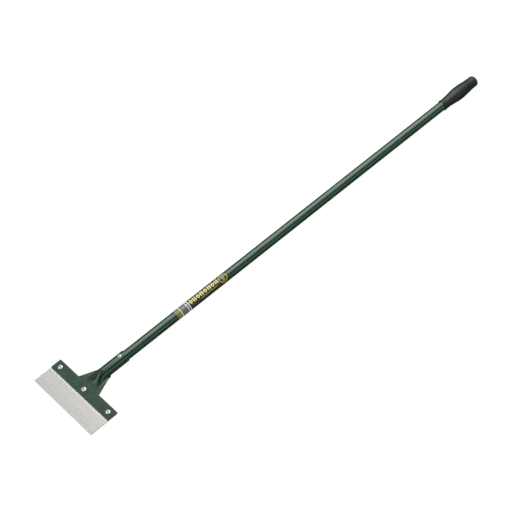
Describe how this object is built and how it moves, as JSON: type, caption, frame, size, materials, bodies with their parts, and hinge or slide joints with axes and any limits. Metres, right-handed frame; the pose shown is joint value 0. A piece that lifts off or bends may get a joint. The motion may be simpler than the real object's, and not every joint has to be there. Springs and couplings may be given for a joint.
{
  "type": "long-handled blade scraper",
  "caption": "Long-handled scraper: wide flat steel blade riveted behind a T-shaped pressed head on a green steel tube, with a swelling black hand grip.",
  "frame": {"origin": "middle of the cutting edge, on the edge's narrow land", "axes": "+Y from the cutting edge up the tube to the grip, +Z out of the front face (the side with the rivet heads), X along the cutting edge"},
  "size_m": [0.225, 1.436, 0.037],
  "materials": {
    "shaft_paint": "gloss dark green powder coat",
    "head_paint": "gloss dark green powder coat",
    "blade_steel": "pale matt grey, fine grind",
    "rivet_bright": "bright, smooth dome",
    "mandrel_steel": "dull broken end",
    "grip_rubber": "satin black",
    "label_film": "semi-gloss printed film"
  },
  "bodies": {
    "root": {"shaft_tube": "shaft_paint", "head_pressing": "head_paint", "blade": "blade_steel", "blade_rivet_left": "rivet_bright", "blade_rivet_centre": "rivet_bright", "blade_rivet_right": "rivet_bright", "blade_mandrel_left": "mandrel_steel", "blade_mandrel_centre": "mandrel_steel", "blade_mandrel_right": "mandrel_steel", "socket_rivet": "rivet_bright", "socket_mandrel": "mandrel_steel", "hand_grip": "grip_rubber", "shaft_label": "label_film"}
  },
  "joints": []
}
